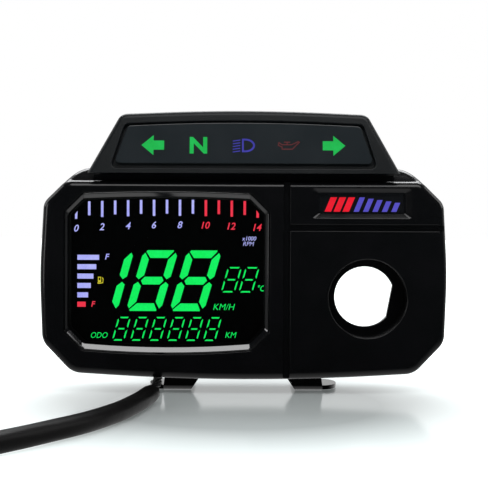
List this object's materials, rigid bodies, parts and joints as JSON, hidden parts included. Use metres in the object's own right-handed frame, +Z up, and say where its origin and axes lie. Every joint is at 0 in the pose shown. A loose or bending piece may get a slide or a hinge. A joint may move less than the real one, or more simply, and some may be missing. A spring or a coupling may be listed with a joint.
{
  "type": "instrument cluster",
  "caption": "Upright digital instrument cluster with an indicator hood, an ignition switch opening, a two-footed steel bracket and a sleeved wiring harness.",
  "frame": {"origin": "on the surface it stands on, under the middle of the cluster's own box, its harness left out", "axes": "+X to the rider's right along the cluster's width, +Z up, and the display faces -Y"},
  "size_m": [0.2752, 0.2481, 0.1298],
  "materials": {
    "face_plastic": "gloss black moulded ABS",
    "hood_plastic": "satin black moulded ABS",
    "bezel_plastic": "polished black bevel",
    "smoked_lens": "dark smoked polycarbonate",
    "clear_window": "clear polycarbonate window",
    "rear_plastic": "fine-textured black ABS",
    "rubber": "soft black rubber",
    "white_plastic": "white moulded plastic",
    "connector_plastic": "natural white nylon connector",
    "lcd_glass": "black negative liquid crystal glass",
    "circuit_board": "green solder mask on glass epoxy",
    "chip_plastic": "black moulded chip package",
    "capacitor_can": "bare can",
    "bracket_paint": "gloss black paint on pressed steel",
    "wire_insulation": "bundle of thin PVC-insulated wires",
    "sleeve_vinyl": "glossy black PVC sleeve",
    "screw_steel": "zinc-plated steel",
    "led_resin": "clear resin over phosphor"
  },
  "bodies": {
    "root": {"backlight_diffuser": "white_plastic", "badge_board": "circuit_board", "badge_led_left": "led_resin", "badge_led_right": "led_resin", "badge_light_box": "white_plastic", "badge_window": "smoked_lens", "board_screw_1": "screw_steel", "board_screw_2": "screw_steel", "board_screw_3": "screw_steel", "board_screw_4": "screw_steel", "bracket_screw_1": "screw_steel", "bracket_screw_2": "screw_steel", "bracket_screw_3": "screw_steel", "bracket_screw_4": "screw_steel", "cable_grommet": "rubber", "case_screw_1": "screw_steel", "case_screw_2": "screw_steel", "case_screw_3": "screw_steel", "case_screw_4": "screw_steel", "case_screw_5": "screw_steel", "case_screw_6": "screw_steel", "connector_boot": "rubber", "display_bezel": "bezel_plastic", "display_window": "clear_window", "filter_capacitor": "capacitor_can", "front_cover": "face_plastic", "harness_connector": "connector_plastic", "harness_header": "white_plastic", "harness_plug": "white_plastic", "harness_sleeve": "sleeve_vinyl", "harness_wires": "wire_insulation", "hood_screw_1": "screw_steel", "hood_screw_2": "screw_steel", "housing_seal": "rubber", "indicator_baffle": "white_plastic", "indicator_board": "circuit_board", "indicator_hood": "hood_plastic", "indicator_led_high_beam": "led_resin", "indicator_led_neutral": "led_resin", "indicator_led_oil": "led_resin", "indicator_led_turn_left": "led_resin", "indicator_led_turn_right": "led_resin", "indicator_lens": "smoked_lens", "lcd_connector_bottom": "chip_plastic", "lcd_connector_top": "chip_plastic", "lcd_frame": "white_plastic", "lcd_glass": "lcd_glass", "main_board": "circuit_board", "microcontroller": "chip_plastic", "mounting_bracket": "bracket_paint", "rear_housing": "rear_plastic", "switch_tube": "rear_plastic", "voltage_regulator": "chip_plastic", "window_gasket": "rubber"}
  },
  "joints": []
}
